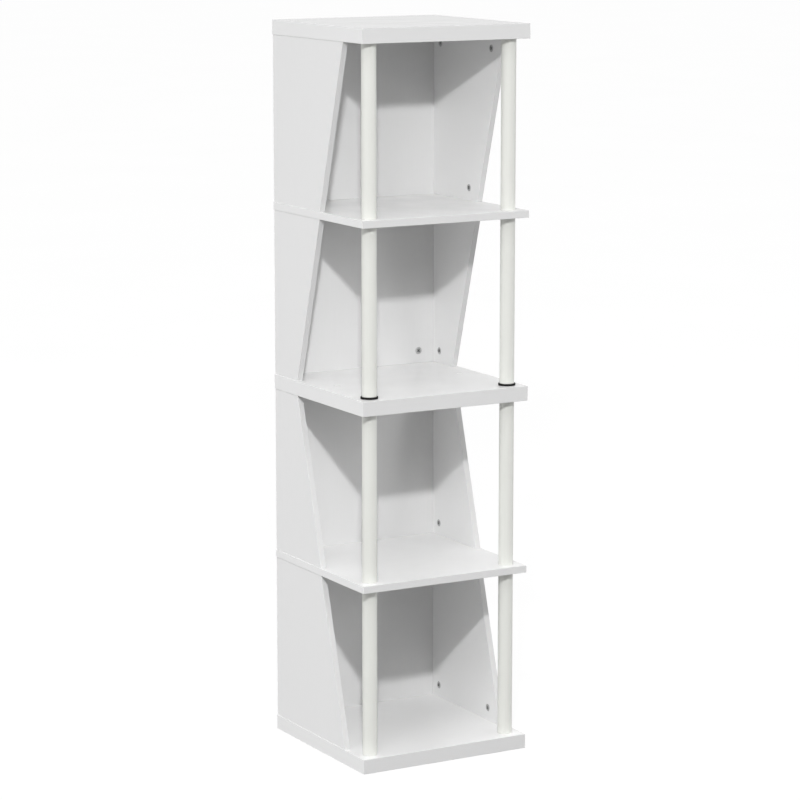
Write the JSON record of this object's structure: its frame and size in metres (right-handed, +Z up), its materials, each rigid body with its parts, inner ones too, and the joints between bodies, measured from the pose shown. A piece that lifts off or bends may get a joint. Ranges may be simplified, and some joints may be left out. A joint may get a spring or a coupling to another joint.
{
  "type": "shelf tower bookcase",
  "caption": "Tall square open bookcase: melamine boards on slanted side panels and back panels, held apart at the front corners by round plastic tubes.",
  "frame": {"origin": "centre of the bottom panel's underside, on the floor", "axes": "+X to the right seen from the front, +Y to the back, +Z up"},
  "size_m": [0.381, 0.381, 1.492],
  "materials": {
    "white_board": "particle board faced with white melamine foil, fine print grain, low sheen, banded edges",
    "tube_plastic": "extruded off-white plastic tube, satin",
    "plug_plastic": "white moulded plastic, hidden inside the tubes",
    "cap_plastic": "white moulded plastic cover caps",
    "black_plastic": "black moulded plastic rings, satin",
    "zinc": "die-cast zinc, tumbled, dull",
    "steel": "zinc-plated turned steel",
    "beech": "fluted beech dowel"
  },
  "bodies": {
    "root": {"back_panel_1": "white_board", "back_panel_2": "white_board", "back_panel_3": "white_board", "back_panel_4": "white_board", "bottom_panel": "white_board", "bottom_panel_inserts": "steel", "bottom_panel_studs": "steel", "cam_bolts_1": "steel", "cam_bolts_2": "steel", "cam_bolts_3": "steel", "cam_bolts_4": "steel", "cam_locks_1": "zinc", "cam_locks_2": "zinc", "cam_locks_3": "zinc", "cam_locks_4": "zinc", "cover_caps": "cap_plastic", "dowels_1": "beech", "dowels_2": "beech", "dowels_3": "beech", "dowels_4": "beech", "left_collar": "black_plastic", "left_side_panel_1": "white_board", "left_side_panel_2": "white_board", "left_side_panel_3": "white_board", "left_side_panel_4": "white_board", "left_tube_1": "tube_plastic", "left_tube_2": "tube_plastic", "left_tube_3": "tube_plastic", "left_tube_4": "tube_plastic", "lower_shelf": "white_board", "lower_shelf_studs": "steel", "middle_panel": "white_board", "middle_panel_studs": "steel", "right_collar": "black_plastic", "right_side_panel_1": "white_board", "right_side_panel_2": "white_board", "right_side_panel_3": "white_board", "right_side_panel_4": "white_board", "right_tube_1": "tube_plastic", "right_tube_2": "tube_plastic", "right_tube_3": "tube_plastic", "right_tube_4": "tube_plastic", "top_panel": "white_board", "top_panel_inserts": "steel", "top_panel_studs": "steel", "tube_plugs_1": "plug_plastic", "tube_plugs_2": "plug_plastic", "tube_plugs_3": "plug_plastic", "tube_plugs_4": "plug_plastic", "upper_shelf": "white_board", "upper_shelf_studs": "steel"}
  },
  "joints": []
}
